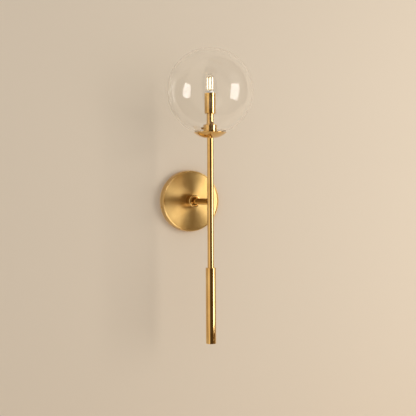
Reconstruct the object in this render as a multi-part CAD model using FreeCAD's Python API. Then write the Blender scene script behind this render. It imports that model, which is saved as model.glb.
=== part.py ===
import FreeCAD, Part
import math
import os

V = FreeCAD.Vector

# Sizes in millimetres. The wall is the plane y = 0, the lamp stands out along -Y, and +Z is up.
# d is a distance from the wall, r a radius about a piece's own axis, z a height above the arm.

# Wall end
CANOPY_R = 60.0          # canopy radius at the wall
LIP_R = 58.0             # radius of the stepped lip
FACE_R = 56.0            # radius of the canopy's slightly domed face
CANOPY_D = 14.0          # lip's distance from the wall
FACE_D = 14.5            # flat seat at the middle of the face
SHEET = 1.2              # thickness of the spun brass
BRACKET_R = 51.0         # steel bracket on the wall box
BRACKET_T = 1.5
WIRE_HOLE_R = 12.0
TAB_R = 57.0             # outer face of the bracket's tabs
TAB_W = 14.0
TAB_D = 9.5
SLOT_R = 2.3             # half the width of the wall-screw slots
SLOT_X = 39.7            # middle of the level slots
SLOT_X_LEN = 14.2
SLOT_Z = 32.0            # middle of the upright slots
SLOT_Z_LEN = 12.0
SIDE_ANGLE = 11.5        # the side screws sit turned by this from level
SIDE_D = 5.0             # side screws' distance from the wall
SIDE_SHANK_R = 1.9
SIDE_HEAD_R = 2.3
SIDE_HEAD_H = 1.6
EARTH_RHO = 25.4         # earth screw's distance from the middle
BOSS_R = 12.0
BOSS_D = 33.0            # front of the boss
BOSS_FLOOR_D = 29.0      # floor of its recess, where the arm seats
RECESS_R = 7.8

# Threaded hollow nipples, shown as plain cylinders
NIPPLE_R = 3.95
NIPPLE_BORE_R = 2.75
THREAD_R = 4.0
CLEAR_R = 4.1
ARM_NIPPLE_D = (7.2, 44.0)
NUT_D = (8.0, 11.5)
TERMINAL_T = 0.8

# Arm and rod
ROD_D = 105.0            # rod axis from the wall
ARM_R = 5.9
ROD_R = 6.0
SADDLE_R = 7.0
SADDLE_D = (95.3, 102.5)
ROD_BOTTOM = -256.0
ROD_TOP = 117.5

# Sleeve on the rod's lower end
SLEEVE_R = 9.5
SLEEVE_WALL = 1.0
SLEEVE_TOP = -122.0
SLEEVE_BOTTOM = -263.0
FLANGE_T = 1.2
PLUG_H = 5.8
STUD_H = 13.0

# Dish, stem and cup
DISH_FLAT_R = 9.9
DISH_RIM_R = 30.2
DISH_RIM_Z = 127.6
DISH_FLOOR = ROD_TOP + SHEET
DISH_LIP = (DISH_RIM_R - 0.9, DISH_RIM_Z + 0.8)     # top of the rounded rim, radius and height
BOWL_INSIDE = (20.8, 122.35)                        # a point halfway up the bowl's inner curve
BOWL_OUTSIDE = (21.4, 121.3)                        # and one on its outer curve
COLLAR_R = 12.8
COLLAR_Z = (120.9, 142.4)
COLLAR_FOOT_R = 9.4      # turned foot of the collar on the dish's floor
NECK_R = 6.5
NECK_START = 149.5
STEM_SCREW_Z = 135.8
STEM_SCREW_ANGLE = 156.0
CUP_R = 10.4
CUP_Z = (162.2, 200.2)
CUP_FLOOR_T = 1.5

# Globe
GLOBE_R = 80.0
GLOBE_Z = 204.0
GLASS_T = 2.5
MOUTH_R = 18.0           # opening at the bottom of the globe
GLASS_GAP = 0.3          # glass to soft ring
GASKET_R = (25.2, 28.7)  # inner and outer radius of the soft ring

# Lamp holder and bulb
STRAP_T = 1.0
STRAP_W = 8.0
STRAP_X = 8.1
STRAP_Z = 174.0
HOLDER_R = 8.9
HOLDER_Z = (175.0, 197.0)
POCKET_Z = 192.0
HOLDER_SCREW_X = 6.55
PIN_Y = 4.5              # the two pins of the bulb are 9 apart
CONTACT_Y = 5.5
CONTACT_FOOT = 176.0     # height at which a lead meets its contact strip
PIN_LENGTH = 7.0
BASE_R = 7.2
BASE_TOP = 203.4
BULB_R = 7.4
BULB_TOP = 236.0
FILAMENT_RING_R = 4.9
FILAMENT_R = 0.8
FILAMENT_Z = (207.6, 228.7)
FILAMENT_ANGLE = -20.0

# Leads
LEAD_R = 0.8
LEAD_X = 1.1             # half the distance between the two supply leads
CONNECTOR_X = 12.0
CONNECTOR_D = 6.0
CONNECTOR_Z = (-15.0, -32.0)


def seg(a, b):
    """Straight edge of a profile between two (r, z) points."""
    return Part.makeLine(V(a[0], 0, a[1]), V(b[0], 0, b[1]))


def bow(a, mid, b):
    """Arc of a profile from a to b through mid."""
    return Part.Arc(V(a[0], 0, a[1]), V(mid[0], 0, mid[1]), V(b[0], 0, b[1])).toShape()


def solid_of(shape):
    """The one solid in a shape, facing outwards."""
    solid = shape.Solids[0]
    if solid.Volume < 0:
        solid.reverse()
    return solid


def turned(edges):
    """Solid turned about Z from a closed profile of edges."""
    face = Part.Face(Part.Wire(edges))
    return solid_of(face.revolve(V(0, 0, 0), V(0, 0, 1), 360))


def turned_points(points):
    """Solid turned about Z from a closed profile of straight edges."""
    return turned([seg(a, b) for a, b in zip(points, points[1:] + points[:1])])


def rod(radius, low, high):
    """Round bar along Z."""
    return Part.makeCylinder(radius, high - low, V(0, 0, low))


def tube(outer, inner, low, high):
    """Straight tube along Z."""
    return rod(outer, low, high).cut(rod(inner, low - 1, high + 1))


def hexagon(flats, low, high):
    """Hexagonal bar along Z, given across its flats."""
    corner = flats / math.sqrt(3)
    points = [V(corner * math.cos(math.radians(a)), corner * math.sin(math.radians(a)), low)
              for a in range(0, 361, 60)]
    return Part.Face(Part.makePolygon(points)).extrude(V(0, 0, high - low))


def block(x, y, z):
    """Box between pairs of limits."""
    return Part.makeBox(x[1] - x[0], y[1] - y[0], z[1] - z[0], V(x[0], y[0], z[0]))


def rounded_block(x, y, z, radius):
    """Box with its upright edges rounded."""
    box = block(x, y, z)
    upright = [e for e in box.Edges if abs(e.tangentAt(e.FirstParameter).z) > 0.9]
    return box.makeFillet(radius, upright)


def off_wall(shape):
    """Turns a piece made along Z so that it stands out from the wall along -Y."""
    shape.rotate(V(0, 0, 0), V(1, 0, 0), 90)
    return shape


def on_rod(shape):
    """Moves a piece made about Z onto the rod's axis."""
    shape.translate(V(0, -ROD_D, 0))
    return shape


def spun(shape, angle):
    """Copy of a shape turned about Z."""
    copy = shape.copy()
    copy.rotate(V(0, 0, 0), V(0, 0, 1), angle)
    return copy


def slot(middle, length, along_x):
    """Cutter for a slot with round ends through the bracket."""
    half = length / 2 - SLOT_R
    ends = [V(middle + s * half, 0, -1) if along_x else V(0, middle + s * half, -1) for s in (-1, 1)]
    wide = (middle - half, middle + half)
    thin = (-SLOT_R, SLOT_R)
    depth = (-1, BRACKET_T + 1)
    cutter = block(wide, thin, depth) if along_x else block(thin, wide, depth)
    for end in ends:
        cutter = cutter.fuse(Part.makeCylinder(SLOT_R, BRACKET_T + 2, end))
    return cutter


def bent_wire(points, bend, radius):
    """Round wire along straight runs joined by arcs."""
    edges = []
    start = points[0]
    for before, corner, after in zip(points, points[1:], points[2:]):
        into = (corner - before).normalize()
        out = (after - corner).normalize()
        turn = into.getAngle(out)
        reach = bend * math.tan(turn / 2)
        a = corner - into * reach
        b = corner + out * reach
        inward = (out - into).normalize()
        mid = corner + inward * (bend / math.cos(turn / 2) - bend)
        edges.append(Part.makeLine(start, a))
        edges.append(Part.Arc(a, mid, b).toShape())
        start = b
    edges.append(Part.makeLine(start, points[-1]))
    path = Part.Wire(edges)
    ring = Part.Wire([Part.makeCircle(radius, points[0], points[1] - points[0])])
    return solid_of(path.makePipeShell([ring], True, False))


def make_wall_bracket():
    """Steel disc with slots for the wall screws and two tabs bent out for the side screws."""
    plate = rod(BRACKET_R, 0, BRACKET_T)
    fold = 2.5
    inner = TAB_R - BRACKET_T
    root = BRACKET_R - 4
    profile = [
        seg((root, 0), (TAB_R - fold, 0)),
        bow((TAB_R - fold, 0), (TAB_R - fold * 0.293, fold * 0.293), (TAB_R, fold)),
        seg((TAB_R, fold), (TAB_R, TAB_D)),
        seg((TAB_R, TAB_D), (inner, TAB_D)),
        seg((inner, TAB_D), (inner, fold)),
        bow((inner, fold), (inner - 0.293, fold - 0.707), (inner - 1, BRACKET_T)),
        seg((inner - 1, BRACKET_T), (root, BRACKET_T)),
        seg((root, BRACKET_T), (root, 0)),
    ]
    tab = Part.Face(Part.Wire(profile)).extrude(V(0, TAB_W, 0))
    tab.translate(V(0, -TAB_W / 2, 0))
    tab = tab.cut(Part.makeCylinder(SIDE_SHANK_R + 0.05, 20, V(45, 0, SIDE_D), V(1, 0, 0)))
    for angle in (SIDE_ANGLE, SIDE_ANGLE + 180):
        plate = plate.fuse(spun(tab, angle))
    plate = plate.cut(rod(WIRE_HOLE_R, -1, BRACKET_T + 1))
    for side in (-1, 1):
        plate = plate.cut(slot(side * SLOT_X, SLOT_X_LEN, True))
        plate = plate.cut(slot(side * SLOT_Z, SLOT_Z_LEN, False))
    earth = Part.makeCylinder(2.05, 4, V(EARTH_RHO, 0, -1))
    plate = plate.cut(spun(earth, 135))
    return off_wall(plate.removeSplitter())


def make_earth_screw():
    """Slotted pan screw that clamps the earth lead's ring on the bracket."""
    seat = BRACKET_T + TERMINAL_T
    shank = rod(2.0, 0, seat)
    head = turned([
        seg((0, seat), (3.6, seat)),
        seg((3.6, seat), (3.6, seat + 1.4)),
        bow((3.6, seat + 1.4), (2.7, seat + 2.3), (0, seat + 2.6)),
        seg((0, seat + 2.6), (0, seat)),
    ])
    screw = shank.fuse(head).cut(block((-4, 4), (-0.4, 0.4), (seat + 1.6, seat + 3)))
    screw.translate(V(EARTH_RHO, 0, 0))
    return off_wall(spun(screw, 135).removeSplitter())


def make_canopy():
    """Spun cup with a rolled lip, a shallow step inside it and a slightly domed face."""
    inner_face = FACE_D - SHEET
    profile = [
        seg((CANOPY_R, 0), (CANOPY_R, 2)),
        bow((CANOPY_R, 2), (CANOPY_R - 0.25, 7.5), (CANOPY_R - 1, 12.2)),
        bow((CANOPY_R - 1, 12.2), (LIP_R + 0.45, CANOPY_D - 0.45), (LIP_R - 0.6, CANOPY_D)),
        bow((LIP_R - 0.6, CANOPY_D), (LIP_R - 1.4, CANOPY_D - 0.25), (FACE_R, CANOPY_D - 1.0)),
        bow((FACE_R, CANOPY_D - 1.0), (33, FACE_D - 0.4), (BOSS_R + 1, FACE_D)),
        seg((BOSS_R + 1, FACE_D), (CLEAR_R, FACE_D)),
        seg((CLEAR_R, FACE_D), (CLEAR_R, inner_face)),
        seg((CLEAR_R, inner_face), (BOSS_R + 1, inner_face)),
        bow((BOSS_R + 1, inner_face), (33, inner_face - 0.4), (FACE_R, CANOPY_D - 1.0 - SHEET)),
        seg((FACE_R, CANOPY_D - 1.0 - SHEET), (CANOPY_R - 2.6, CANOPY_D - 1.8 - SHEET)),
        bow((CANOPY_R - 2.6, CANOPY_D - 1.8 - SHEET), (CANOPY_R - 1.5, 7.0), (CANOPY_R - SHEET, 2)),
        seg((CANOPY_R - SHEET, 2), (CANOPY_R - SHEET, 0)),
        seg((CANOPY_R - SHEET, 0), (CANOPY_R, 0)),
    ]
    cup = turned(profile)
    for angle in (SIDE_ANGLE, SIDE_ANGLE + 180):
        hole = Part.makeCylinder(SIDE_SHANK_R + 0.3, 10, V(54, 0, SIDE_D), V(1, 0, 0))
        cup = cup.cut(spun(hole, angle))
    return off_wall(cup)


def make_canopy_screws():
    """Two slotted screws from the canopy's side into the bracket's tabs."""
    shank = rod(SIDE_SHANK_R, 53.5, CANOPY_R)
    top = CANOPY_R + SIDE_HEAD_H
    head = turned([
        seg((0, CANOPY_R), (SIDE_HEAD_R, CANOPY_R)),
        seg((SIDE_HEAD_R, CANOPY_R), (SIDE_HEAD_R, CANOPY_R + 0.7)),
        bow((SIDE_HEAD_R, CANOPY_R + 0.7), (1.6, top - 0.25), (0, top)),
        seg((0, top), (0, CANOPY_R)),
    ])
    screw = shank.fuse(head).cut(block((-3, 3), (-0.3, 0.3), (top - 0.8, top + 1)))
    screw.rotate(V(0, 0, 0), V(0, 1, 0), 90)
    screw.translate(V(0, 0, SIDE_D))
    pair = [spun(screw, SIDE_ANGLE), spun(screw, SIDE_ANGLE + 180)]
    return off_wall(Part.makeCompound([s.removeSplitter() for s in pair]))


def make_arm_boss():
    """Turned boss with a rolled front ring and a recess that the arm stands in."""
    flank = BOSS_D - 2.3
    boss = turned([
        seg((THREAD_R, FACE_D), (BOSS_R, FACE_D)),
        seg((BOSS_R, FACE_D), (BOSS_R, flank)),
        bow((BOSS_R, flank), (BOSS_R - 0.7, BOSS_D - 0.6), (BOSS_R - 2.0, BOSS_D)),
        bow((BOSS_R - 2.0, BOSS_D), (RECESS_R + 0.4, BOSS_D - 0.4), (RECESS_R, BOSS_D - 1.4)),
        seg((RECESS_R, BOSS_D - 1.4), (RECESS_R, BOSS_FLOOR_D)),
        seg((RECESS_R, BOSS_FLOOR_D), (THREAD_R, BOSS_FLOOR_D)),
        seg((THREAD_R, BOSS_FLOOR_D), (THREAD_R, FACE_D)),
    ])
    return off_wall(boss)


def make_arm_nipple():
    """Hollow threaded nipple that ties canopy, boss and arm together."""
    return off_wall(tube(NIPPLE_R, NIPPLE_BORE_R, *ARM_NIPPLE_D))


def make_arm_washer():
    """Toothed washer against the inside of the canopy."""
    face = FACE_D - SHEET
    low = NUT_D[1] + TERMINAL_T
    ring = tube(6.6, CLEAR_R, low, face)
    tooth = block((6.2, 7.8), (-0.7, 0.7), (low, face))
    for angle in range(0, 360, 36):
        ring = ring.fuse(spun(tooth, angle))
    return off_wall(ring.removeSplitter())


def make_arm_nut():
    """Hexagon nut on the arm's nipple, with its corners turned down."""
    nut = hexagon(13.0, *NUT_D)
    low, high = NUT_D
    chamfer = turned_points([(0, low), (6.6, low), (7.8, low + 0.7), (7.8, high), (0, high)])
    return off_wall(nut.common(chamfer).cut(rod(THREAD_R, 0, 20)))


def make_arm_tube():
    """Level arm, its end cut to the rod's curve."""
    arm = off_wall(tube(ARM_R, THREAD_R, BOSS_FLOOR_D, ROD_D))
    return arm.cut(on_rod(rod(ROD_R, -20, 20)))


def make_arm_saddle():
    """Cradle ring round the arm's end, hugging the rod's back."""
    near, far = SADDLE_D
    ring = turned([
        seg((ARM_R, near), (SADDLE_R - 0.5, near)),
        bow((SADDLE_R - 0.5, near), (SADDLE_R - 0.15, near + 0.15), (SADDLE_R, near + 0.5)),
        seg((SADDLE_R, near + 0.5), (SADDLE_R, far)),
        seg((SADDLE_R, far), (ARM_R, far)),
        seg((ARM_R, far), (ARM_R, near)),
    ])
    return off_wall(ring).cut(on_rod(rod(ROD_R, -20, 20)))


def make_rod_tube():
    """Upright rod with a side hole for the leads and a threaded bore."""
    body = on_rod(tube(ROD_R, THREAD_R, ROD_BOTTOM, ROD_TOP))
    side_hole = Part.makeCylinder(THREAD_R - 0.3, ROD_R + 2, V(0, -ROD_D, 0), V(0, 1, 0))
    return body.cut(side_hole)


def make_lower_sleeve():
    """Wide tube over the rod's lower end."""
    low = SLEEVE_BOTTOM + FLANGE_T
    high = SLEEVE_TOP - FLANGE_T
    return on_rod(tube(SLEEVE_R, SLEEVE_R - SLEEVE_WALL, low, high))


def make_sleeve_top_ring():
    """Flanged ring that closes the sleeve's top round the rod."""
    plug_r = SLEEVE_R - SLEEVE_WALL - 0.05
    seat = SLEEVE_TOP - FLANGE_T
    ring = turned_points([
        (ROD_R, seat - PLUG_H), (plug_r, seat - PLUG_H), (plug_r, seat), (SLEEVE_R, seat),
        (SLEEVE_R, SLEEVE_TOP - 0.3), (SLEEVE_R - 0.3, SLEEVE_TOP), (ROD_R, SLEEVE_TOP),
    ])
    return on_rod(ring)


def make_sleeve_end_cap():
    """Turned cap that closes the sleeve's bottom and screws into the rod."""
    plug_r = SLEEVE_R - SLEEVE_WALL - 0.05
    seat = SLEEVE_BOTTOM + FLANGE_T
    cap = turned_points([
        (0, SLEEVE_BOTTOM), (SLEEVE_R - 0.3, SLEEVE_BOTTOM), (SLEEVE_R, SLEEVE_BOTTOM + 0.3),
        (SLEEVE_R, seat), (plug_r, seat), (plug_r, ROD_BOTTOM), (NIPPLE_R, ROD_BOTTOM),
        (NIPPLE_R, ROD_BOTTOM + STUD_H - 1), (NIPPLE_R - 1, ROD_BOTTOM + STUD_H), (0, ROD_BOTTOM + STUD_H),
    ])
    return on_rod(cap)


def make_centre_nipple():
    """Long hollow nipple that clamps rod, dish, stem and cup in one stack."""
    return on_rod(tube(NIPPLE_R, NIPPLE_BORE_R, ROD_TOP - 17, CUP_Z[0] + 6.7))


def dish_inside():
    """Edges of the dish's inner surface from its flat floor to the rim."""
    return [
        seg((THREAD_R, DISH_FLOOR), (DISH_FLAT_R - 0.3, DISH_FLOOR)),
        bow((DISH_FLAT_R - 0.3, DISH_FLOOR), BOWL_INSIDE, DISH_LIP),
    ]


def make_globe_dish():
    """Shallow spun bowl with a flat floor and a rounded rim."""
    rim = (DISH_RIM_R, DISH_RIM_Z)
    bowl = turned(dish_inside() + [
        bow(DISH_LIP, (DISH_RIM_R - 0.15, DISH_RIM_Z + 0.65), rim),
        bow(rim, BOWL_OUTSIDE, (DISH_FLAT_R, ROD_TOP)),
        seg((DISH_FLAT_R, ROD_TOP), (THREAD_R, ROD_TOP)),
        seg((THREAD_R, ROD_TOP), (THREAD_R, DISH_FLOOR)),
    ])
    return on_rod(bowl)


def make_globe_gasket():
    """Soft ring in the dish, shaped below to the bowl and above to the glass."""
    hollow = turned(dish_inside() + [
        seg(DISH_LIP, (THREAD_R, DISH_LIP[1])),
        seg((THREAD_R, DISH_LIP[1]), (THREAD_R, DISH_FLOOR)),
    ])
    glass = Part.makeSphere(GLOBE_R + GLASS_GAP, V(0, 0, GLOBE_Z))
    ring = tube(GASKET_R[1], GASKET_R[0], DISH_FLOOR, DISH_LIP[1]).common(hollow).cut(glass)
    return on_rod(solid_of(ring))


def make_lamp_stem():
    """Turned stem: a wide collar on the dish, a flare and a slim neck."""
    low, high = COLLAR_Z
    profile = [
        seg((THREAD_R, DISH_FLOOR), (COLLAR_FOOT_R, DISH_FLOOR)),
        seg((COLLAR_FOOT_R, DISH_FLOOR), (COLLAR_FOOT_R, low)),
        seg((COLLAR_FOOT_R, low), (COLLAR_R, low)),
        seg((COLLAR_R, low), (COLLAR_R, high - 1)),
        bow((COLLAR_R, high - 1), (COLLAR_R - 0.3, high - 0.3), (COLLAR_R - 1, high)),
        seg((COLLAR_R - 1, high), (8.9, high)),
        bow((8.9, high), (7.1, high + 2.6), (NECK_R, NECK_START)),
        seg((NECK_R, NECK_START), (NECK_R, CUP_Z[0])),
        seg((NECK_R, CUP_Z[0]), (THREAD_R, CUP_Z[0])),
        seg((THREAD_R, CUP_Z[0]), (THREAD_R, DISH_FLOOR)),
    ]
    hole = Part.makeCylinder(1.5, 10, V(8, 0, STEM_SCREW_Z), V(1, 0, 0))
    return on_rod(turned(profile).cut(spun(hole, STEM_SCREW_ANGLE)))


def make_stem_screw():
    """Small headed screw in the collar's side."""
    end = COLLAR_R + 3.9
    shank = rod(1.45, 8.3, COLLAR_R)
    head = turned([
        seg((0, COLLAR_R), (1.9, COLLAR_R)),
        seg((1.9, COLLAR_R), (1.9, end - 0.8)),
        bow((1.9, end - 0.8), (1.4, end - 0.25), (0.6, end)),
        seg((0.6, end), (0, end)),
        seg((0, end), (0, COLLAR_R)),
    ])
    screw = shank.fuse(head).cut(block((-3, 3), (-0.25, 0.25), (end - 0.9, end + 1)))
    screw.rotate(V(0, 0, 0), V(0, 1, 0), 90)
    screw.translate(V(0, 0, STEM_SCREW_Z))
    return on_rod(spun(screw, STEM_SCREW_ANGLE).removeSplitter())


def make_socket_cup():
    """Thin-walled cup round the lamp holder."""
    low, high = CUP_Z
    inner = CUP_R - SHEET
    cup = turned([
        seg((THREAD_R, low), (CUP_R - 0.8, low)),
        seg((CUP_R - 0.8, low), (CUP_R, low + 0.8)),
        seg((CUP_R, low + 0.8), (CUP_R, high - 0.4)),
        bow((CUP_R, high - 0.4), (CUP_R - 0.12, high - 0.12), (CUP_R - 0.4, high)),
        seg((CUP_R - 0.4, high), (inner, high)),
        seg((inner, high), (inner, low + CUP_FLOOR_T)),
        seg((inner, low + CUP_FLOOR_T), (THREAD_R, low + CUP_FLOOR_T)),
        seg((THREAD_R, low + CUP_FLOOR_T), (THREAD_R, low)),
    ])
    return on_rod(cup)


def make_cup_nut():
    """Hexagon nut that pulls the whole stack together inside the cup."""
    low = CUP_Z[0] + CUP_FLOOR_T + STRAP_T
    return on_rod(hexagon(12.0, low, low + 3.5).cut(rod(THREAD_R, low - 1, low + 5)))


def make_holder_strap():
    """Bent steel strap from the cup's floor up to the lamp holder."""
    low = CUP_Z[0] + CUP_FLOOR_T
    high = STRAP_Z + STRAP_T
    seat = rod(STRAP_X + 0.9, low, low + STRAP_T).common(block((-9, 9), (-6, 6), (low, high)))
    outer = block((-STRAP_X, STRAP_X), (-STRAP_W / 2, STRAP_W / 2), (low, high))
    room = block((-STRAP_X + STRAP_T, STRAP_X - STRAP_T), (-STRAP_W, STRAP_W), (low, STRAP_Z))
    gap = block((-3.2, 3.2), (-STRAP_W, STRAP_W), (STRAP_Z - 1, high + 1))
    strap = outer.cut(room).cut(gap).fuse(seat).cut(rod(THREAD_R, low - 1, low + STRAP_T + 1))
    for side in (-1, 1):
        strap = strap.cut(Part.makeCylinder(1.3, 4, V(side * HOLDER_SCREW_X, 0, STRAP_Z - 1)))
    return on_rod(strap.removeSplitter())


def make_lamp_holder():
    """Ceramic holder with a pocket for the bulb's base and two deep pin slots."""
    low, high = HOLDER_Z
    body = rod(HOLDER_R, low, high)
    body = body.cut(rounded_block((-4.2, 4.2), (-7.1, 7.1), (POCKET_Z, high + 1), 1.5))
    for side in (-1, 1):
        pin_slot = block((-2.6, 2.6), (3.1, 5.7), (POCKET_Z - 8.5, POCKET_Z + 0.5))
        strip_slot = block((-1.7, 1.7), (5.1, 5.7), (low - 1, POCKET_Z))
        body = body.cut(spun(pin_slot, 90 - 90 * side)).cut(spun(strip_slot, 90 - 90 * side))
        body = body.cut(Part.makeCylinder(1.0, 2.2, V(0, side * CONTACT_Y, low - 1)))
        body = body.cut(Part.makeCylinder(1.6, high - low + 2, V(side * HOLDER_SCREW_X, 0, low - 1)))
        body = body.cut(Part.makeCylinder(2.15, 3, V(side * HOLDER_SCREW_X, 0, high - 2)))
    return on_rod(body)


def make_holder_screws():
    """Two long screws through the ceramic into the strap."""
    seat = HOLDER_Z[1] - 2
    screw = rod(1.25, STRAP_Z - 0.5, seat).fuse(rod(2.0, seat, seat + 1.7))
    screw = screw.cut(block((-3, 3), (-0.3, 0.3), (seat + 1, seat + 3)))
    pair = []
    for side in (-1, 1):
        one = screw.copy()
        one.translate(V(side * HOLDER_SCREW_X, 0, 0))
        pair.append(one.removeSplitter())
    return on_rod(Part.makeCompound(pair))


def make_holder_contacts():
    """Two plain spring strips standing beside the pins."""
    strips = []
    for side in (-1, 1):
        strip = block((-1.4, 1.4), (CONTACT_Y - 0.2, CONTACT_Y + 0.2), (CONTACT_FOOT, POCKET_Z - 0.8))
        strips.append(spun(strip, 90 - 90 * side))
    return on_rod(Part.makeCompound(strips))


def make_bulb_base():
    """Ceramic base: a flat block in the holder's pocket under a round head."""
    shoulder = HOLDER_Z[1] + 0.6
    foot = rounded_block((-3.9, 3.9), (-6.8, 6.8), (POCKET_Z + 0.1, shoulder + 0.9), 1.4)
    head = turned_points([
        (0, shoulder), (BASE_R - 0.8, shoulder), (BASE_R, shoulder + 1.0), (BASE_R, BASE_TOP), (0, BASE_TOP),
    ])
    return on_rod(foot.fuse(head).removeSplitter())


def make_bulb_pins():
    """Two looped pins, one each side of the base."""
    top = POCKET_Z + 0.1
    half = 1.2
    pins = []
    for side in (-1, 1):
        loop = bent_wire([V(-half, side * PIN_Y, top), V(-half, side * PIN_Y, top - PIN_LENGTH),
                          V(half, side * PIN_Y, top - PIN_LENGTH), V(half, side * PIN_Y, top)], 1.0, 0.4)
        pins.append(loop)
    return on_rod(Part.makeCompound(pins))


def make_bulb_capsule():
    """Thin glass capsule with a domed top, open below where it sits on the base."""
    wall = 0.8
    dome = BULB_TOP - BULB_R
    inner = BULB_R - wall
    slant = math.sqrt(0.5)
    capsule = turned([
        seg((BULB_R - 0.5 - wall, BASE_TOP), (BULB_R - 0.5, BASE_TOP)),
        bow((BULB_R - 0.5, BASE_TOP), (BULB_R - 0.1, BASE_TOP + 0.6), (BULB_R, BASE_TOP + 1.6)),
        seg((BULB_R, BASE_TOP + 1.6), (BULB_R, dome)),
        bow((BULB_R, dome), (BULB_R * slant, dome + BULB_R * slant), (0, BULB_TOP)),
        seg((0, BULB_TOP), (0, BULB_TOP - wall)),
        bow((0, BULB_TOP - wall), (inner * slant, dome + inner * slant), (inner, dome)),
        seg((inner, dome), (inner, BASE_TOP + 1.6)),
        bow((inner, BASE_TOP + 1.6), (inner - 0.1, BASE_TOP + 0.6), (inner - 0.5, BASE_TOP)),
    ])
    return on_rod(capsule)


def filament_places():
    """The four filaments stand evenly on a ring."""
    return [FILAMENT_ANGLE + 90 * k for k in range(4)]


def make_bulb_filaments():
    """Four upright filament sticks."""
    stick = Part.makeCylinder(FILAMENT_R, FILAMENT_Z[1] - FILAMENT_Z[0], V(FILAMENT_RING_R, 0, FILAMENT_Z[0]))
    return on_rod(Part.makeCompound([spun(stick, a) for a in filament_places()]))


def make_bulb_supports():
    """Wires under the filaments and a wire ring that joins their tops."""
    low, high = FILAMENT_Z
    post = Part.makeCylinder(0.3, low - BASE_TOP, V(FILAMENT_RING_R, 0, BASE_TOP))
    ring = Part.makeTorus(FILAMENT_RING_R, 0.35, V(0, 0, high + 0.35))
    return on_rod(Part.makeCompound([spun(post, a) for a in filament_places()] + [ring]))


def make_glass_globe():
    """Blown clear globe with a round mouth at the bottom, its edge polished round."""
    inner_r = GLOBE_R - GLASS_T
    mouth_out = (MOUTH_R + 0.9, GLOBE_Z - math.sqrt(GLOBE_R ** 2 - (MOUTH_R + 0.9) ** 2))
    mouth_in = (MOUTH_R + 0.9, GLOBE_Z - math.sqrt(inner_r ** 2 - (MOUTH_R + 0.9) ** 2))
    globe = turned([
        bow(mouth_out, (GLOBE_R, GLOBE_Z), (0, GLOBE_Z + GLOBE_R)),
        seg((0, GLOBE_Z + GLOBE_R), (0, GLOBE_Z + inner_r)),
        bow((0, GLOBE_Z + inner_r), (inner_r, GLOBE_Z), mouth_in),
        bow(mouth_in, (MOUTH_R, (mouth_in[1] + mouth_out[1]) / 2), mouth_out),
    ])
    return on_rod(globe)


def make_lamp_leads():
    """Two insulated leads from the canopy through arm, rod and nipple to the contacts."""
    leads = []
    for side in (-1, 1):
        x = side * LEAD_X
        across = side * CONTACT_Y
        wall_end = [
            V(side * CONNECTOR_X, -4.2, CONNECTOR_Z[0] - 6),
            V(side * CONNECTOR_X, -4.2, CONNECTOR_Z[0] + 1),
            V(x, -4.2, 0),
        ]
        lamp_end = [
            V(x, -ROD_D, 0),
            V(x, -ROD_D, 170.4),
            V(0, -ROD_D + across, 173.6),
            V(0, -ROD_D + across, CONTACT_FOOT),
        ]
        leads.append(bent_lead(wall_end + lamp_end))
    return Part.makeCompound(leads)


def bent_lead(points):
    """Lead whose bend at the rod is wide and whose other bends are tight."""
    wall = bent_wire(points[:3] + [V(points[2].x, -60, 0)], 2.6, LEAD_R)
    middle = bent_wire([V(points[3].x, -60, 0), points[3], V(points[3].x, -ROD_D, 60)], 8.0, LEAD_R)
    top = bent_wire([V(points[3].x, -ROD_D, 60)] + points[4:], 2.2, LEAD_R)
    return solid_of(wall.fuse(middle).fuse(top).removeSplitter())


def make_wire_connectors():
    """Two twist-on caps with a hollow mouth, ribbed outside."""
    low, high = CONNECTOR_Z[1], CONNECTOR_Z[0]
    cap = turned([
        bow((0, low), (2.1, low + 0.5), (3.0, low + 2.2)),
        seg((3.0, low + 2.2), (4.3, high)),
        seg((4.3, high), (3.3, high)),
        seg((3.3, high), (3.0, high - 9)),
        seg((3.0, high - 9), (0, high - 9)),
        seg((0, high - 9), (0, low)),
    ])
    for angle in range(0, 360, 60):
        cap = cap.cut(spun(Part.makeCylinder(0.5, high - low, V(4.35, 0, low)), angle))
    pair = []
    for side in (-1, 1):
        one = cap.copy()
        one.translate(V(side * CONNECTOR_X, -CONNECTOR_D, 0))
        pair.append(one)
    return Part.makeCompound(pair)


def make_earth_lead():
    """Earth lead with a ring end under the arm's nut and one under the earth screw."""
    tab = block((5.5, 9.2), (-1.2, 1.2), (NUT_D[1], NUT_D[1] + TERMINAL_T))
    nut_ring = tube(6.4, THREAD_R, NUT_D[1], NUT_D[1] + TERMINAL_T).fuse(tab)
    screw_ring = tube(3.9, 2.05, BRACKET_T, BRACKET_T + TERMINAL_T)
    screw_ring.translate(V(EARTH_RHO, 0, 0))
    level = NUT_D[1] + TERMINAL_T / 2
    floor = BRACKET_T + 0.9
    wire = bent_wire([V(8.4, 0, level), V(12.0, 0, level), V(16.5, 0, floor), V(EARTH_RHO - 3.7, 0, floor)],
                     2.4, LEAD_R)
    lead = nut_ring.fuse(wire).fuse(screw_ring).removeSplitter()
    return off_wall(spun(solid_of(lead), 135))


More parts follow.
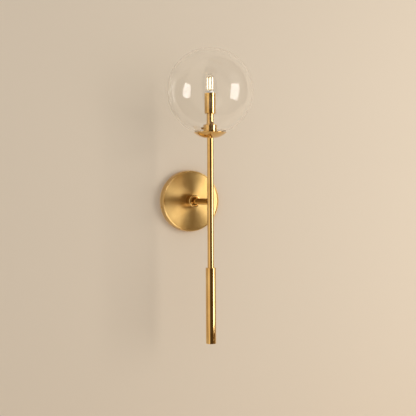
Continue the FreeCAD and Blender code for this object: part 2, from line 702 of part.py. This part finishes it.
PIECES = {
    "wall_bracket": make_wall_bracket,
    "earth_screw": make_earth_screw,
    "earth_lead": make_earth_lead,
    "canopy": make_canopy,
    "canopy_screws": make_canopy_screws,
    "arm_boss": make_arm_boss,
    "arm_nipple": make_arm_nipple,
    "arm_washer": make_arm_washer,
    "arm_nut": make_arm_nut,
    "arm_tube": make_arm_tube,
    "arm_saddle": make_arm_saddle,
    "rod_tube": make_rod_tube,
    "lower_sleeve": make_lower_sleeve,
    "sleeve_top_ring": make_sleeve_top_ring,
    "sleeve_end_cap": make_sleeve_end_cap,
    "centre_nipple": make_centre_nipple,
    "globe_dish": make_globe_dish,
    "globe_gasket": make_globe_gasket,
    "lamp_stem": make_lamp_stem,
    "stem_screw": make_stem_screw,
    "socket_cup": make_socket_cup,
    "cup_nut": make_cup_nut,
    "holder_strap": make_holder_strap,
    "lamp_holder": make_lamp_holder,
    "holder_screws": make_holder_screws,
    "holder_contacts": make_holder_contacts,
    "bulb_base": make_bulb_base,
    "bulb_pins": make_bulb_pins,
    "bulb_capsule": make_bulb_capsule,
    "bulb_filaments": make_bulb_filaments,
    "bulb_supports": make_bulb_supports,
    "glass_globe": make_glass_globe,
    "lamp_leads": make_lamp_leads,
    "wire_connectors": make_wire_connectors,
}

os.makedirs("parts", exist_ok=True)
for name, make in PIECES.items():
    make().exportStep("parts/" + name + ".step")
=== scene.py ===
import math

import bmesh
import bpy
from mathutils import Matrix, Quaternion, Vector

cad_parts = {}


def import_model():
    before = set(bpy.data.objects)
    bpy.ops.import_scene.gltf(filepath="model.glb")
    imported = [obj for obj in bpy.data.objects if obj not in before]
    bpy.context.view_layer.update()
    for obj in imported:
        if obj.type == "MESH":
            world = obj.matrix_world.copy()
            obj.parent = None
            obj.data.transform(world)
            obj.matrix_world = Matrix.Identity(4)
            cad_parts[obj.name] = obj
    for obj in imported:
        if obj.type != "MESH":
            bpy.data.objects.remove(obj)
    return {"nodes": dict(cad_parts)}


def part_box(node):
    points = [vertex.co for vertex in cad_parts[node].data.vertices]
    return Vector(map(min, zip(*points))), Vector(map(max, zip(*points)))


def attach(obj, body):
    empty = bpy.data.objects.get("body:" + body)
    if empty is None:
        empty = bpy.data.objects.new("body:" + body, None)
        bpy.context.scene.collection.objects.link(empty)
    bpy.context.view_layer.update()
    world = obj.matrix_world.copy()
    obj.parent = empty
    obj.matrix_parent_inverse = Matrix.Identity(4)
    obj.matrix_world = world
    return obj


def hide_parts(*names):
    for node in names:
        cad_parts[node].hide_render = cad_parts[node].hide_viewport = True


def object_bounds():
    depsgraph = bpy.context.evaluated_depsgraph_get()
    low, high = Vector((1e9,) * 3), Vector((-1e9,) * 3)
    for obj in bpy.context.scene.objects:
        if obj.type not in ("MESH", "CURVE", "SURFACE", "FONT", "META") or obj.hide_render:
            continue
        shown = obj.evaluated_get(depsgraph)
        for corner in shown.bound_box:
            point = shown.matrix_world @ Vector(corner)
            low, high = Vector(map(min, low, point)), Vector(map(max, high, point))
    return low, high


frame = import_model()
cad_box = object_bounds()
nodes = frame["nodes"]

MM = 0.001

# Places on the lamp, in metres, read from the frame. An axis is given by one point on it.
rod_low, rod_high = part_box("rod_tube")
globe_low, globe_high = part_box("glass_globe")
WALL_Y = cad_box[1][1]
ARM_AXIS = (0, 0, 0)
ROD_AXIS = Vector(((rod_low.x + rod_high.x) / 2, (rod_low.y + rod_high.y) / 2, 0))
GLOBE_RADIUS = (globe_high.x - globe_low.x) / 2
GLOBE_CENTRE = Vector((ROD_AXIS.x, ROD_AXIS.y, globe_high.z - GLOBE_RADIUS))

# The blown globe: two round shells and, at the mouth, the lip that joins them.
GLASS_THICKNESS = 0.0025
MOUTH_RADIUS = 0.018
LIP_DEPTH = 0.0009              # how far the rounded lip stands in from the shells' edges
GLOBE_SIDES = 192
GLOBE_STEPS = 96
LIP_STEPS = 8
ON_AXIS = 1e-6                  # a ring smaller than this is one point

# The photograph's viewpoint.
AZIMUTH = math.radians(-24.0)
TILT = math.radians(1.47)
ROLL = math.radians(-0.25)      # the photograph leans a little
EYE_DISTANCE = 1.554
FRAME_WIDTH = 0.7696            # what the frame spans at the rod
AIM = Vector((-0.00425, -0.10306, -0.0115))
SENSOR_WIDTH = 36.0
CLIP_START = 0.01

# The backdrop.
WALL_COLOUR = (0.74, 0.62, 0.48)
WALL_CLOUDS = 0.985             # its darkest clouds, as a share of its colour
WALL_GAP = 0.0005               # from the lamp's back face to the wall
TOUCHING = 3 * MM               # a ray that meets the wall sooner than this passes through it
STAGE_HALF_WIDTH = 3.0
STAGE_TOP = 2.5
STAGE_DEPTH = 0.45
FLOOR_Z = -0.75
COVE_RADIUS = 0.25
COVE_STEPS = 12

# The softbox, at the right.
KEY_AZIMUTH = math.radians(45.6)
KEY_HEIGHT = 0.08               # of its middle above the arm
KEY_DISTANCE = 2.0
KEY_SIZE = (0.96, 1.30)
KEY_POWER = 18.5
KEY_COLOUR = (1.0, 0.98, 0.95)

# The room's light, where it falls on a surface and where it is seen past the wall or through glass.
EVEN_COLOUR = (0.63, 0.63, 0.63)
SEEN_COLOUR = (0.74, 0.64, 0.50)

# The room that metal and glass mirror: degrees to the right of straight out from the wall, and
# colour.
ROOM = (
    (-180, (0.70, 0.57, 0.42)),
    (-90, (1.00, 0.83, 0.62)),
    (-48, (1.00, 0.83, 0.62)),
    (-42, (0.09, 0.06, 0.03)),
    (8, (0.09, 0.06, 0.03)),
    (24, (0.15, 0.09, 0.03)),
    (62, (0.26, 0.17, 0.085)),
    (100, (0.26, 0.17, 0.085)),
    (180, (0.70, 0.57, 0.42)),
)

# Round patches of that room: degrees to the right and up, degrees from the middle to where a
# patch starts to fade and to where it ends, and colour. Rays inside glass don't see them.
PATCHES = (
    (50, 20, 8, 24, (1.00, 0.94, 0.82)),
    (-12, -36, 4, 26, (1.60, 1.50, 1.30)),
    (0, 90, 22, 45, (0.42, 0.35, 0.26)),
)

# The softbox as the inside of the glass mirrors it: degrees to the right and up, half its width
# and height in degrees, and colour. On a scale of 1 in its middle and 0 on its outline, the fade
# says where it starts to show and where it shows in full.
GLINT_PLACE = (45.6, -3.5)
GLINT_HALF_SIZE = (13.0, 17.0)
GLINT_COLOUR = (7.0, 6.9, 6.7)
GLINT_FADE = (-0.25, 0.35)

# Counts of a ray's bounces, each set between two whole numbers.
BOUNCED = 0.5
TRAPPED = 3.5                   # a ray mirrored more often inside glass is let out

# The brass, and the least and the most roughness of each of its finishes.
BRASS = (0.80, 0.55, 0.22)
BRASS_DEEP = (0.70, 0.44, 0.15)
LINED_ROUGHNESS = (0.05, 0.10)
RINGED_ROUGHNESS = (0.06, 0.12)
BRUSHED_ROUGHNESS = (0.28, 0.34)
DARK_ROUGHNESS = (0.25, 0.40)

# Threads.
THREAD_PITCH = 1.0 * MM
THREAD_DEPTH = 0.35 * MM

# The earth lead's tinned ends: how far from the arm's axis, or from the earth screw's, the tin
# ends and the green starts.
NUT_END = (9.3 * MM, 9.5 * MM)
SCREW_END = (4.0 * MM, 4.2 * MM)


def heading(right, up):
    """Direction turned to the right of straight out from the wall, and up."""
    return Vector((math.sin(right) * math.cos(up), -math.cos(right) * math.cos(up), math.sin(up)))


def camera():
    """Camera at the photograph's viewing angle."""
    back = heading(AZIMUTH, TILT)
    data = bpy.data.cameras.new("photo_camera")
    data.sensor_width = SENSOR_WIDTH
    data.lens = SENSOR_WIDTH * EYE_DISTANCE / FRAME_WIDTH
    data.clip_start = CLIP_START
    eye = bpy.data.objects.new("photo_camera", data)
    eye.location = AIM + back * EYE_DISTANCE
    eye.rotation_euler = (back.to_track_quat("Z", "Y") @ Quaternion((0, 0, 1), ROLL)).to_euler()
    bpy.context.scene.collection.objects.link(eye)
    bpy.context.scene.camera = eye


class Tree:
    """Short ways to put nodes into a tree."""

    def __init__(self, tree):
        self.tree = tree

    def node(self, kind, **settings):
        made = self.tree.nodes.new(kind)
        for key, value in settings.items():
            setattr(made, key, value)
        return made

    def feed(self, socket, value):
        """Links an output to a socket, or writes a plain value on it."""
        if isinstance(value, bpy.types.NodeSocket):
            self.tree.links.new(value, socket)
        else:
            socket.default_value = value

    def feed_colour(self, socket, colour):
        """Links an output to a colour socket, or writes a plain colour on it."""
        self.feed(socket, (*colour, 1.0) if isinstance(colour, tuple) else colour)

    def math(self, operation, a, b=0.0):
        made = self.node("ShaderNodeMath", operation=operation)
        self.feed(made.inputs[0], a)
        self.feed(made.inputs[1], b)
        return made.outputs[0]

    def square(self, value):
        return self.math("MULTIPLY", value, value)

    def ramp(self, factor, start, end, low=0.0, high=1.0):
        """A smooth step from low, where factor is start, to high, where factor is end."""
        made = self.node("ShaderNodeMapRange", interpolation_type="SMOOTHSTEP")
        self.feed(made.inputs["Value"], factor)
        made.inputs["From Min"].default_value = start
        made.inputs["From Max"].default_value = end
        made.inputs["To Min"].default_value = low
        made.inputs["To Max"].default_value = high
        return made.outputs["Result"]

    def blend(self, factor, one, other):
        """A colour that goes from one to other with factor."""
        made = self.node("ShaderNodeMix", data_type="RGBA")
        self.feed(made.inputs["Factor"], factor)
        self.feed_colour(made.inputs["A"], one)
        self.feed_colour(made.inputs["B"], other)
        return made.outputs["Result"]

    def glow(self, colour):
        made = self.node("ShaderNodeBackground")
        self.feed_colour(made.inputs["Color"], colour)
        return made.outputs["Background"]

    def mix_shaders(self, factor, one, other):
        made = self.node("ShaderNodeMixShader")
        self.feed(made.inputs[0], factor)
        self.feed(made.inputs[1], one)
        self.feed(made.inputs[2], other)
        return made.outputs["Shader"]


class Finish(Tree):
    """A node material being put together, in the lamp's own metres."""

    def __init__(self, name, sockets=None):
        self.material = bpy.data.materials.new(name)
        self.material.use_nodes = True
        super().__init__(self.material.node_tree)
        self.shader = self.tree.nodes["Principled BSDF"]
        self.output = self.tree.nodes["Material Output"]
        self.place = self.node("ShaderNodeTexCoord").outputs["Object"]
        self.normal = None
        for socket, value in (sockets or {}).items():
            self.drive(socket, value)

    def drive(self, socket, value):
        """Feeds one of the shader's own sockets."""
        self.feed(self.shader.inputs[socket], value)

    def tint(self, factor, one, other):
        """Base colour that goes from one to other with factor."""
        self.drive("Base Color", self.blend(factor, one, other))

    def roughen(self, cloud, low, high, start=0.3, end=0.7):
        """Roughness that steps from low, where cloud is start, to high, where it is end."""
        self.drive("Roughness", self.ramp(cloud, start, end, low, high))

    def shifted(self, centre, stretch=(1.0, 1.0, 1.0)):
        """The place measured from a centre, and stretched."""
        made = self.node("ShaderNodeMapping")
        self.feed(made.inputs["Vector"], self.place)
        made.inputs["Location"].default_value = [-c * s for c, s in zip(centre, stretch)]
        made.inputs["Scale"].default_value = stretch
        return made.outputs["Vector"]

    def noise(self, scale, detail=3.0, stretch=(1.0, 1.0, 1.0)):
        """Clouds, or lines along the axes whose stretch is small."""
        made = self.node("ShaderNodeTexNoise")
        self.feed(made.inputs["Vector"], self.shifted((0, 0, 0), stretch))
        made.inputs["Scale"].default_value = scale
        made.inputs["Detail"].default_value = detail
        return made.outputs["Fac"]

    def measures(self, centre, axis):
        """Two measures across a line through centre along Y or Z, and the one along it."""
        apart = self.node("ShaderNodeSeparateXYZ")
        self.feed(apart.inputs[0], self.shifted(centre))
        one, other = [apart.outputs[name] for name in "XYZ" if name != axis]
        return one, other, apart.outputs[axis]

    def distance_from_axis(self, centre, axis):
        """How far the surface is from a line through centre along Y or Z."""
        one, other, _ = self.measures(centre, axis)
        return self.math("SQRT", self.math("ADD", self.square(one), self.square(other)))

    def rings(self, centre, axis, scale, detail=2.0):
        """Fine rings about a line through centre along Y or Z."""
        made = self.node("ShaderNodeTexNoise", noise_dimensions="1D")
        self.feed(made.inputs["W"], self.distance_from_axis(centre, axis))
        made.inputs["Scale"].default_value = scale
        made.inputs["Detail"].default_value = detail
        return made.outputs["Fac"]

    def bump(self, height, depth, strength=1.0):
        """Relief of a depth in metres, over what relief there is."""
        made = self.node("ShaderNodeBump")
        self.feed(made.inputs["Height"], height)
        made.inputs["Distance"].default_value = depth
        made.inputs["Strength"].default_value = strength
        if self.normal is not None:
            self.feed(made.inputs["Normal"], self.normal)
        self.normal = made.outputs["Normal"]
        self.drive("Normal", self.normal)

    def thread(self, centre, axis):
        """A helical thread about a line through centre along Y or Z."""
        one, other, along = self.measures(centre, axis)
        turn = self.math("DIVIDE", self.math("ARCTAN2", other, one), 2 * math.pi)
        phase = self.math("ADD", self.math("DIVIDE", along, THREAD_PITCH), turn)
        flanks = self.math("PINGPONG", phase, 0.5)      # one ridge for each whole phase
        self.bump(flanks, depth=THREAD_DEPTH)

    def clear_where(self, share, tint=(1.0, 1.0, 1.0)):
        """Lets a share of the rays go straight through, tinted."""
        clear = self.node("ShaderNodeBsdfTransparent")
        clear.inputs["Color"].default_value = (*tint, 1.0)
        mixed = self.mix_shaders(share, self.shader.outputs["BSDF"], clear.outputs["BSDF"])
        self.feed(self.output.inputs["Surface"], mixed)

    def let_light_through(self, tint):
        """Lets lamps shine through glass, so that its shadow is as light as real clear glass's."""
        path = self.node("ShaderNodeLightPath")
        lit = self.math("MAXIMUM", path.outputs["Is Shadow Ray"], path.outputs["Is Diffuse Ray"])
        trapped = self.math("GREATER_THAN", path.outputs["Glossy Depth"], TRAPPED)
        self.clear_where(self.math("MAXIMUM", lit, trapped), tint)


def lacquered(name, roughness):
    """Lacquered metal with a faintly uneven shine."""
    finish = Finish(name, {"Metallic": 1.0, "Coat Weight": 0.6, "Coat Roughness": 0.05})
    finish.roughen(finish.noise(70.0, detail=5.0), *roughness, end=0.75)
    return finish


def brass(name, roughness):
    """Lacquered brass with slow tone changes."""
    finish = lacquered(name, roughness)
    tone = finish.ramp(finish.noise(28.0, detail=4.0), start=0.35, end=0.7)
    finish.tint(tone, BRASS, BRASS_DEEP)
    return finish


def lined_brass(name, scale, stretch):
    """Drawn or turned brass: hair-fine lines along the axes whose stretch is small."""
    finish = brass(name, LINED_ROUGHNESS)
    finish.bump(finish.noise(scale, detail=2.0, stretch=stretch), depth=0.01 * MM, strength=0.12)
    return finish.material


def ringed_brass(name, centre, axis, scale):
    """Spun or turned brass: fine rings about its own axis."""
    finish = brass(name, RINGED_ROUGHNESS)
    finish.bump(finish.rings(centre, axis, scale), depth=0.02 * MM, strength=0.3)
    return finish.material


def brushed_brass():
    """Canopy face brushed in circles about its middle."""
    finish = brass("brass_brushed", BRUSHED_ROUGHNESS)
    tangent = finish.node("ShaderNodeTangent", direction_type="RADIAL", axis="Y")
    finish.drive("Tangent", tangent.outputs["Tangent"])
    finish.drive("Anisotropic", 0.93)
    finish.drive("Anisotropic Rotation", 0.25)      # so that the shine spreads across the circles
    finish.bump(finish.rings(ARM_AXIS, "Y", 1400.0, detail=4.0), depth=0.04 * MM, strength=0.5)
    finish.bump(finish.noise(900.0, detail=2.0), depth=0.004 * MM, strength=0.2)
    return finish.material


def dark_brass():
    """Darkened brass of the little collar screw."""
    finish = lacquered("brass_darkened", DARK_ROUGHNESS)
    finish.tint(finish.noise(400.0), (0.36, 0.23, 0.10), (0.50, 0.34, 0.16))
    return finish.material


def zinc_steel(name, threaded_about=None):
    """Zinc plated steel, with a cloudy blue to straw passivation."""
    finish = Finish(name, {"Metallic": 1.0})
    tone = finish.ramp(finish.noise(120.0, detail=4.0), start=0.35, end=0.65)
    finish.tint(tone, (0.56, 0.58, 0.60), (0.66, 0.63, 0.55))
    finish.roughen(finish.noise(500.0), low=0.28, high=0.46)
    finish.bump(finish.noise(1800.0, detail=2.0), depth=0.02 * MM, strength=0.4)
    if threaded_about is not None:
        finish.thread(*threaded_about)
    return finish.material


def green_steel():
    """Green passivated earth screw."""
    finish = Finish("steel_green", {"Metallic": 0.8, "Roughness": 0.38})
    finish.tint(finish.noise(300.0), (0.07, 0.27, 0.11), (0.15, 0.42, 0.19))
    finish.bump(finish.noise(1500.0), depth=0.02 * MM, strength=0.4)
    return finish.material


def ceramic():
    """Matt white steatite with a fine speckle."""
    finish = Finish("ceramic_white")
    speckle = finish.ramp(finish.noise(900.0, detail=2.0), start=0.55, end=0.72)
    finish.tint(speckle, (0.90, 0.88, 0.84), (0.78, 0.75, 0.69))
    finish.roughen(finish.noise(200.0), low=0.42, high=0.6)
    finish.bump(finish.noise(1200.0), depth=0.05 * MM, strength=0.3)
    return finish.material


def globe_glass():
    """Clear blown glass: a slow waviness, hardly any tint."""
    finish = Finish("glass_clear", {"Roughness": 0.0, "Transmission Weight": 1.0, "IOR": 1.43})
    finish.tint(finish.noise(12.0), (0.995, 0.997, 0.994), (1.0, 1.0, 1.0))
    finish.bump(finish.noise(14.0, detail=1.0), depth=0.1 * MM, strength=0.02)
    finish.let_light_through(tint=(0.975, 0.975, 0.97))
    return finish.material


def bulb_glass():
    """Thin clear glass of the capsule."""
    finish = Finish("glass_bulb", {"Roughness": 0.0, "Transmission Weight": 1.0, "IOR": 1.47})
    finish.tint(finish.noise(60.0), (0.98, 0.98, 0.96), (1.0, 1.0, 0.99))
    finish.bump(finish.noise(90.0, detail=1.0), depth=0.1 * MM, strength=0.2)
    finish.let_light_through(tint=(0.96, 0.95, 0.93))
    return finish.material


def silicone():
    """Clear soft ring under the glass."""
    finish = Finish("silicone_clear", {"Transmission Weight": 0.9, "IOR": 1.41})
    finish.tint(finish.noise(150.0), (0.94, 0.93, 0.90), (0.98, 0.98, 0.96))
    finish.roughen(finish.noise(300.0), low=0.08, high=0.2)
    finish.bump(finish.noise(900.0), depth=0.03 * MM, strength=0.3)
    finish.let_light_through(tint=(0.97, 0.965, 0.95))
    return finish.material


def filament():
    """Lit filament sticks: white heat on a pale phosphor, its dies just showing."""
    finish = Finish("filament_lit", {"Roughness": 0.5, "Emission Strength": 1.6,
                                     "Emission Color": (1.0, 0.86, 0.62, 1.0)})
    dies = finish.noise(1200.0, detail=1.0, stretch=(0.1, 0.1, 1.0))
    finish.tint(dies, (0.95, 0.82, 0.45), (1.0, 0.93, 0.70))
    return finish.material


def wire():
    """Drawn gold-coloured wire that holds the filaments."""
    finish = Finish("wire_gold", {"Metallic": 1.0, "Roughness": 0.25})
    finish.tint(finish.noise(800.0), (0.66, 0.48, 0.22), (0.80, 0.62, 0.32))
    finish.bump(finish.noise(2500.0), depth=0.01 * MM, strength=0.3)
    return finish.material


def nickel():
    """Nickel plated pins."""
    finish = Finish("nickel", {"Metallic": 1.0})
    finish.roughen(finish.noise(900.0), low=0.14, high=0.3)
    finish.tint(finish.noise(300.0), (0.66, 0.65, 0.62), (0.76, 0.75, 0.73))
    return finish.material


def spring_strip():
    """Rolled bronze contact strip."""
    finish = Finish("strip_bronze", {"Metallic": 1.0, "Roughness": 0.28})
    finish.tint(finish.noise(200.0), (0.70, 0.45, 0.22), (0.80, 0.58, 0.32))
    lines = finish.noise(1800.0, detail=2.0, stretch=(1.0, 1.0, 0.03))
    finish.bump(lines, depth=0.02 * MM, strength=0.4)
    return finish.material


def lead_sleeve():
    """White insulation with a fine woven rib."""
    finish = Finish("lead_sleeve", {"Roughness": 0.6})
    weave = finish.noise(1600.0, detail=2.0, stretch=(1.0, 1.0, 0.4))
    finish.tint(weave, (0.74, 0.71, 0.64), (0.88, 0.86, 0.81))
    finish.bump(weave, depth=0.06 * MM, strength=0.5)
    return finish.material


def earth_lead():
    """Green lead with tinned ring ends, one on the arm's nut and one on the earth screw."""
    finish = Finish("earth_lead", {"Roughness": 0.45})
    low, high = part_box("earth_screw")
    from_nut = finish.distance_from_axis(ARM_AXIS, "Y")
    from_screw = finish.distance_from_axis((low + high) / 2, "Y")
    metal = finish.math("MAXIMUM", finish.ramp(from_nut, *NUT_END, low=1.0, high=0.0),
                        finish.ramp(from_screw, *SCREW_END, low=1.0, high=0.0))
    green = finish.blend(finish.noise(500.0), (0.09, 0.30, 0.08), (0.17, 0.43, 0.14))
    tin = finish.blend(finish.noise(700.0), (0.58, 0.57, 0.54), (0.72, 0.71, 0.68))
    finish.tint(metal, green, tin)
    finish.drive("Metallic", metal)
    finish.bump(finish.noise(1500.0), depth=0.03 * MM, strength=0.3)
    return finish.material


def connector():
    """Moulded twist-on caps."""
    finish = Finish("connector_cap", {"Roughness": 0.42})
    finish.tint(finish.noise(250.0), (0.74, 0.70, 0.62), (0.84, 0.81, 0.75))
    finish.bump(finish.noise(1400.0), depth=0.03 * MM, strength=0.3)
    return finish.material


def studio_wall():
    """Pale wall and floor: clear from behind, and clear to what touches its front."""
    finish = Finish("studio_wall", {"Roughness": 0.9, "Specular IOR Level": 0.1})
    finish.tint(finish.noise(3.0), WALL_COLOUR, tuple(c * WALL_CLOUDS for c in WALL_COLOUR))
    behind = finish.node("ShaderNodeNewGeometry").outputs["Backfacing"]
    ray_length = finish.node("ShaderNodeLightPath").outputs["Ray Length"]
    touching = finish.math("LESS_THAN", ray_length, TOUCHING)
    finish.clear_where(finish.math("MAXIMUM", behind, touching))
    return finish.material


def dress():
    """Gives every CAD node its finish."""
    drawn = lined_brass("brass_drawn_tube", 1500.0, (1.0, 1.0, 0.02))
    turned = lined_brass("brass_turned", 2200.0, (0.03, 0.03, 1.0))
    boss = ringed_brass("brass_boss", ARM_AXIS, "Y", 2600.0)
    plain_steel = zinc_steel("steel_zinc")
    white = ceramic()
    finishes = {
        "wall_bracket": plain_steel,
        "earth_screw": green_steel(),
        "earth_lead": earth_lead(),
        "canopy": brushed_brass(),
        "canopy_screws": turned,
        "arm_boss": boss,
        "arm_nipple": zinc_steel("steel_thread_level", (ARM_AXIS, "Y")),
        "arm_washer": plain_steel,
        "arm_nut": plain_steel,
        "arm_tube": lined_brass("brass_arm_tube", 1500.0, (1.0, 0.02, 1.0)),
        "arm_saddle": boss,
        "rod_tube": drawn,
        "lower_sleeve": drawn,
        "sleeve_top_ring": turned,
        "sleeve_end_cap": turned,
        "centre_nipple": zinc_steel("steel_thread_upright", (ROD_AXIS, "Z")),
        "globe_dish": ringed_brass("brass_spun_dish", ROD_AXIS, "Z", 2200.0),
        "globe_gasket": silicone(),
        "lamp_stem": turned,
        "stem_screw": dark_brass(),
        "socket_cup": turned,
        "cup_nut": plain_steel,
        "holder_strap": plain_steel,
        "lamp_holder": white,
        "holder_screws": plain_steel,
        "holder_contacts": spring_strip(),
        "bulb_base": white,
        "bulb_pins": nickel(),
        "bulb_capsule": bulb_glass(),
        "bulb_filaments": filament(),
        "bulb_supports": wire(),
        "glass_globe": globe_glass(),
        "lamp_leads": lead_sleeve(),
        "wire_connectors": connector(),
    }
    for name, node in nodes.items():
        for slot in node.material_slots:
            slot.material = finishes[name]


def smooth_object(name, work, material):
    """Turns work into a smooth object of one material."""
    for face in work.faces:
        face.smooth = True
    mesh = bpy.data.meshes.new(name)
    work.to_mesh(mesh)
    work.free()
    mesh.materials.append(material)
    made = bpy.data.objects.new(name, mesh)
    bpy.context.scene.collection.objects.link(made)
    return made


def globe_profile():
    """The glass cut through, as radius and height: up the outer shell, down the inner, the lip."""
    profile = []
    for radius, way in ((GLOBE_RADIUS, 1), (GLOBE_RADIUS - GLASS_THICKNESS, -1)):
        start = math.asin((MOUTH_RADIUS + LIP_DEPTH) / radius)
        turns = [start + (math.pi - start) * k / GLOBE_STEPS for k in range(GLOBE_STEPS + 1)]
        profile += [(radius * math.sin(t), GLOBE_CENTRE.z - radius * math.cos(t))
                    for t in turns[::way]]
    low, high = profile[0][1], profile[-1][1]
    for k in range(1, LIP_STEPS):
        turn = math.pi * k / LIP_STEPS
        height = (low + high) / 2 + (high - low) / 2 * math.cos(turn)
        profile.append((MOUTH_RADIUS + LIP_DEPTH - LIP_DEPTH * math.sin(turn), height))
    return profile


def ring_of(work, radius, z):
    """A level ring of points round the globe's axis, or one point on it."""
    if radius < ON_AXIS:
        return [work.verts.new((GLOBE_CENTRE.x, GLOBE_CENTRE.y, z))]
    turns = [2 * math.pi * k / GLOBE_SIDES for k in range(GLOBE_SIDES)]
    return [work.verts.new((GLOBE_CENTRE.x + radius * math.cos(t),
                            GLOBE_CENTRE.y + radius * math.sin(t), z)) for t in turns]


def blown_globe():
    """The globe as blown: two fine round shells that meet in the rounded lip of the mouth."""
    work = bmesh.new()
    rings = [ring_of(work, radius, z) for radius, z in globe_profile()]
    for one, other in zip(rings, rings[1:] + rings[:1]):
        if len(one) == len(other) == 1:
            continue
        for k in range(GLOBE_SIDES):
            after = (k + 1) % GLOBE_SIDES
            corners = [ring[i % len(ring)] for ring, i in
                       ((one, k), (one, after), (other, after), (other, k))]
            # Beside a ring of one point, two corners are the same, and the face has three.
            work.faces.new(list(dict.fromkeys(corners)))
    bmesh.ops.recalc_face_normals(work, faces=work.faces)
    globe = smooth_object("globe_blown", work, nodes["glass_globe"].material_slots[0].material)
    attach(globe, "globe")
    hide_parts("glass_globe")


def backdrop():
    """One sheet: wall, cove and floor."""
    y = WALL_Y + WALL_GAP
    profile = [(y, STAGE_TOP)]
    for k in range(COVE_STEPS + 1):
        turn = math.pi / 2 * k / COVE_STEPS
        profile.append((y - COVE_RADIUS * (1 - math.cos(turn)),
                        FLOOR_Z + COVE_RADIUS * (1 - math.sin(turn))))
    profile.append((y - STAGE_DEPTH, FLOOR_Z))
    work = bmesh.new()
    rows = [[work.verts.new((side * STAGE_HALF_WIDTH, p, z)) for side in (-1, 1)]
            for p, z in profile]
    for upper, lower in zip(rows, rows[1:]):
        work.faces.new((upper[0], lower[0], lower[1], upper[1]))
    sheet = smooth_object("studio_wall", work, studio_wall())


def key_light():
    """Large softbox at the right."""
    data = bpy.data.lights.new("softbox", "AREA")
    data.shape = "RECTANGLE"
    data.size, data.size_y = KEY_SIZE
    data.energy = KEY_POWER
    data.color = KEY_COLOUR
    lamp = bpy.data.objects.new("softbox", data)
    away = heading(KEY_AZIMUTH, 0.0)
    lamp.location = ROD_AXIS + away * KEY_DISTANCE + Vector((0, 0, KEY_HEIGHT))
    lamp.rotation_euler = away.to_track_quat("Z", "Y").to_euler()
    lamp.visible_transmission = False      # or it would fill the clear globe from behind
    bpy.context.scene.collection.objects.link(lamp)


def room_colours(tree, turn):
    """The room's colours round the lamp, from ROOM. turn is to the right, in radians."""
    around = tree.node("ShaderNodeValToRGB")
    tree.feed(around.inputs["Fac"], tree.math("ADD", tree.math("DIVIDE", turn, 2 * math.pi), 0.5))
    stops = around.color_ramp.elements
    for k, (degrees, colour) in enumerate(ROOM):
        stop = stops[k] if k < 2 else stops.new(1.0)    # a ramp comes with two stops
        stop.position = degrees / 360 + 0.5
        stop.color = (*colour, 1.0)
    return around.outputs["Color"]


def patch_share(tree, direction, middle, core, edge):
    """How much of a round patch a direction sees: 1 within core of its middle, 0 past edge."""
    toward = tree.node("ShaderNodeVectorMath", operation="DOT_PRODUCT")
    tree.feed(toward.inputs[0], direction)
    toward.inputs[1].default_value = middle
    return tree.ramp(toward.outputs["Value"], math.cos(edge), math.cos(core))


def glint_share(tree, turn, rise):
    """How much of the softbox a direction sees: a rectangle with rounded corners and soft edges."""
    inside = 1.0
    for angle, middle, half in zip((turn, rise), GLINT_PLACE, GLINT_HALF_SIZE):
        off = tree.math("SUBTRACT", angle, math.radians(middle))
        share = tree.math("DIVIDE", off, math.radians(half))
        inside = tree.math("SUBTRACT", inside, tree.square(tree.square(share)))
    return tree.ramp(inside, *GLINT_FADE)


def world():
    """Room light: even where it falls, and the room's dark front and warm sides where mirrored."""
    room = bpy.data.worlds.new("room")
    bpy.context.scene.world = room
    room.use_nodes = True
    room.node_tree.nodes.clear()
    tree = Tree(room.node_tree)
    direction = tree.node("ShaderNodeTexCoord").outputs["Generated"]
    apart = tree.node("ShaderNodeSeparateXYZ")
    tree.feed(apart.inputs[0], direction)
    turn = tree.math("ARCTAN2", apart.outputs["X"], tree.math("MULTIPLY", apart.outputs["Y"], -1.0))
    rise = tree.math("ARCSINE", apart.outputs["Z"])
    path = tree.node("ShaderNodeLightPath").outputs

    mirrored = room_colours(tree, turn)
    outside_glass = tree.math("LESS_THAN", path["Transmission Depth"], BOUNCED)
    for right, up, core, edge, colour in PATCHES:
        middle = heading(math.radians(right), math.radians(up))
        share = patch_share(tree, direction, middle, math.radians(core), math.radians(edge))
        mirrored = tree.blend(tree.math("MULTIPLY", share, outside_glass), mirrored, colour)
    inside_glass = tree.math("SUBTRACT", 1.0, outside_glass)
    share = tree.math("MULTIPLY", glint_share(tree, turn, rise), inside_glass)
    mirrored = tree.blend(share, mirrored, GLINT_COLOUR)

    seen = tree.math("MAXIMUM", path["Is Camera Ray"], path["Is Transmission Ray"])
    shiny = tree.math("SUBTRACT", tree.math("GREATER_THAN", path["Glossy Depth"], BOUNCED),
                      path["Is Diffuse Ray"])
    plain = tree.mix_shaders(seen, tree.glow(EVEN_COLOUR), tree.glow(SEEN_COLOUR))
    tree.feed(tree.node("ShaderNodeOutputWorld").inputs["Surface"],
              tree.mix_shaders(shiny, plain, tree.glow(mirrored)))


camera()
dress()
blown_globe()
backdrop()
key_light()
world()
bpy.context.scene.view_settings.view_transform = "Standard"
